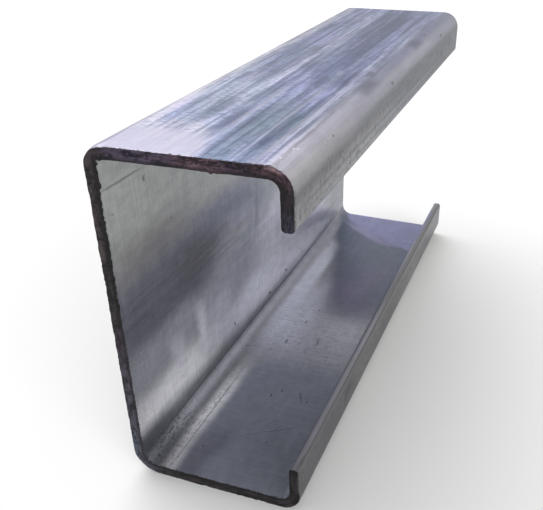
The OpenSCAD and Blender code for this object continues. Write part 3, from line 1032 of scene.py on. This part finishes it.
# The finish of the sawn faces. Places are across the strip and through the steel, in millimetres
# from its middle line, outwards: across, through, their half sizes, blend, colour and strength.
sawnFinish = {
    "tone": (0.020, 0.014, 0.023),
    "metallic": 0.2,
    "roughness": (0.48, 0.75),   # between its lumps and on them
    "specular": 0.22,
    "bump": 0.6,
    "bumpHeight": 0.00012,       # metres
    "flattening": 0.02,
    "endless": 99,               # half size of a tone along the steel
    "ravel": ((3, 1, 1.0), (5, 0, 0.8), 3.0),
    # streaks, lumps and patches: size of the grain, detail, and the noise that gives 0 and 1. Then
    # their weights in the colour, the sums that give 0 and 1, and their weights in the relief.
    "grains": (
        ((5, 1, 0.25), 3.0, 0.3, 0.7),
        ((0.9, 1, 0.6), 4.0, 0.3, 0.7),
        ((4.5, 1, 1.6), 3.0, 0.35, 0.65),
    ),
    "weights": (0.20, 0.42, 0.38),
    "range": (0.2, 0.8),
    "relief": (0.6, 1.0),
    "tints": ((0.19, 0.19, 0.22), (2.35, 2.15, 2.15)),
    "rustGrain": ((2.2, 1, 0.8), 4.0, 0.60, 0.74),
    "rust": ((0.050, 0.028, 0.020), 0.4),
    "fleckSpecks": ((2.0, 1, 0.8), 0.26, 0.08),
    "flecks": ((0.17, 0.16, 0.16), 0.7),
    # painted shadow along the inner rim: its ravel, its place in sides, colour and strength
    "innerRavel": 0.3,
    "innerRim": (-0.85, -0.5),
    "innerRimShadow": ((0.008, 0.007, 0.008), 0.6),
    "tones": (
        (31.5, 0, 5.0, 9, 0.6, (0.060, 0.040, 0.050), 0.8),      # reddish, middle of the top flange
        (46.0, 0, 7.0, 9, 0.6, (0.036, 0.031, 0.050), 0.8),
        (59.0, 0, 3.5, 9, 0.6, (0.018, 0.016, 0.018), 0.8),      # dark corner at the web
        (14.5, 0, 5.0, 9, 0.5, (0.030, 0.019, 0.023), 0.8),      # brown, at the lip bend
        (14.7, 1.1, 1.0, 0.4, 0.8, (0.150, 0.110, 0.120), 0.6),
        (6.8, 0, 3.6, 9, 0.6, (0.007, 0.0065, 0.007), 0.85),       # top lip, bluer at its edge
        (1.2, 0, 3.2, 9, 0.6, (0.019, 0.019, 0.030), 0.8),
        (84, 0, 24, 9, 0.3, (0.0145, 0.0140, 0.0145), 0.9),      # web
        (74, 0.9, 13, 0.7, 0.6, (0.036, 0.030, 0.030), 0.7),     # its outer half is browner
        (80, -1.0, 21, 0.7, 0.6, (0.006, 0.006, 0.006), 0.85),
        (142, 0, 25, 9, 0.5, (0.033, 0.035, 0.046), 0.9),
        (150, 0.8, 9, 0.8, 0.6, (0.044, 0.054, 0.072), 0.8),     # painted bluish highlight on the outside of the bottom bend
        (178, 0, 22, 9, 0.3, (0.017, 0.016, 0.017), 0.9),        # bottom flange
        (206, 0, 8, 9, 0.3, (0.013, 0.012, 0.013), 0.9),         # bottom lip
    ),
}


def sawnFace():
    # The sawn face: patches of tone with ravelled edges, times a mottled tint, with rust, bright
    # flecks and a blacker line of painted shadow along the inner rim.
    finish = sawnFinish
    material, tree, shader, laid = newMaterial("sawnSteel")
    # millimetres across the strip and through the steel, with the unevenness along it flattened
    through = calcVector(tree, "MULTIPLY", laid, (1, finish["flattening"], thickness / 2))
    wide = shift(tree, through, *finish["ravel"])
    colour = finish["tone"]
    for across, deep, halfAcross, halfDeep, edge, tone, strength in finish["tones"]:
        halfSize = (halfAcross, finish["endless"], halfDeep)
        mask = patch(tree, wide, (across, 0, deep), halfSize, edge, strength)
        colour = blend(tree, mask, colour, tone)
    streaks, lumps, patches = [grainOf(tree, through, *values) for values in finish["grains"]]
    mixed = weigh(tree, *zip((streaks, lumps, patches), finish["weights"]))
    tint = blend(tree, remap(tree, mixed, *finish["range"]), *finish["tints"])
    colour = blend(tree, 1.0, colour, tint, "MULTIPLY")
    colour = mark(tree, colour, grainOf(tree, wide, *finish["rustGrain"]), *finish["rust"])
    flecks = specksOn(tree, through, *finish["fleckSpecks"])
    colour = mark(tree, colour, flecks, *finish["flecks"])
    # painted shadow: a blacker line along the inner rim
    depth = addNode(tree, "ShaderNodeSeparateXYZ", {0: laid}).outputs[2]
    depth = calc(tree, "SUBTRACT", depth, times(tree, lumps, finish["innerRavel"]))
    innerRimShadow = remap(tree, depth, *finish["innerRim"], 1.0, 0.0)
    colour = mark(tree, colour, innerRimShadow, *finish["innerRimShadow"])
    tree.links.new(colour, shader.inputs["Base Color"])
    shader.inputs["Metallic"].default_value = finish["metallic"]
    shader.inputs["Specular IOR Level"].default_value = finish["specular"]
    rough = remap(tree, lumps, 0.0, 1.0, *finish["roughness"], "LINEAR")
    tree.links.new(rough, shader.inputs["Roughness"])
    raised = weigh(tree, *zip((streaks, lumps), finish["relief"]))
    addBump(tree, shader, raised, finish["bump"], finish["bumpHeight"])
    return material


channel = buildChannel()
channel.data.materials.append(rolledSkin())
channel.data.materials.append(sawnFace())
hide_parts("c_channel")
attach(channel, "root")
print("finishes laid")

# The studio: lengths in metres, angles in degrees, power in watts
studio = {
    "floorReach": 6.0,
    "floorColour": (0.72, 0.72, 0.72),
    "floorRoughness": 0.9,
    "cameraPlace": (0.0744, -0.2155, 0.1524),
    "cameraHeading": 23.67,    # left of the channel's length
    "cameraDip": 28.19,        # below level
    "cameraRoll": -1.35,
    "lens": 47.5,              # millimetres, as the sensor
    "sensor": 36,
    "nearestSeen": 0.01,
    "softboxes": (             # name, place, size of each side, power
        ("topSoftbox", (-0.7, 0.5, 1.1), (1.3, 1.3), 15),
        ("sideSoftbox", (1.3, -0.9, 0.55), (1.0, 0.8), 12),
    ),
    "softboxTarget": (0, 0, 0.05),
    "roomLight": 0.85,
}


def addFloor():
    # A square of matt pale paper at the frame's lowest level.
    reach = studio["floorReach"]
    corners = [(-reach, -reach, 0), (reach, -reach, 0), (reach, reach, 0), (-reach, reach, 0)]
    mesh = bpy.data.meshes.new("floor")
    mesh.from_pydata(corners, [], [(0, 1, 2, 3)])
    paper = bpy.data.materials.new("floorPaper")
    paper.use_nodes = True
    shader = paper.node_tree.nodes["Principled BSDF"]
    shader.inputs["Base Color"].default_value = (*studio["floorColour"], 1)
    shader.inputs["Roughness"].default_value = studio["floorRoughness"]
    mesh.materials.append(paper)
    floor = bpy.data.objects.new("floor", mesh)
    bpy.context.scene.collection.objects.link(floor)
    floor.location.z = cadLow.z


def addCamera():
    # The camera: turned by its heading about the upright, then dipped, then rolled.
    data = bpy.data.cameras.new("camera")
    data.lens = studio["lens"]
    data.sensor_width = studio["sensor"]
    data.clip_start = studio["nearestSeen"]
    camera = bpy.data.objects.new("camera", data)
    bpy.context.scene.collection.objects.link(camera)
    turn = Matrix.Rotation(math.radians(studio["cameraHeading"]), 4, "Z")
    dip = Matrix.Rotation(math.radians(90 - studio["cameraDip"]), 4, "X")
    roll = Matrix.Rotation(math.radians(studio["cameraRoll"]), 4, "Z")
    camera.matrix_world = Matrix.Translation(studio["cameraPlace"]) @ turn @ dip @ roll
    bpy.context.scene.camera = camera


def addSoftbox(name, place, size, power):
    # A rectangular light that faces the target.
    data = bpy.data.lights.new(name, "AREA")
    data.shape = "RECTANGLE"
    data.size, data.size_y = size
    data.energy = power
    light = bpy.data.objects.new(name, data)
    bpy.context.scene.collection.objects.link(light)
    light.location = place
    facing = Vector(studio["softboxTarget"]) - Vector(place)
    light.rotation_euler = facing.to_track_quat("-Z", "Y").to_euler()


def setWorld():
    # Even white light from all round.
    world = bpy.data.worlds.new("studio")
    world.use_nodes = True
    background = world.node_tree.nodes["Background"]
    background.inputs["Color"].default_value = (1, 1, 1, 1)
    background.inputs["Strength"].default_value = studio["roomLight"]
    bpy.context.scene.world = world


addFloor()
addCamera()
for softbox in studio["softboxes"]:
    addSoftbox(*softbox)
setWorld()
bpy.context.scene.view_settings.view_transform = "Standard"
print("studio ready")
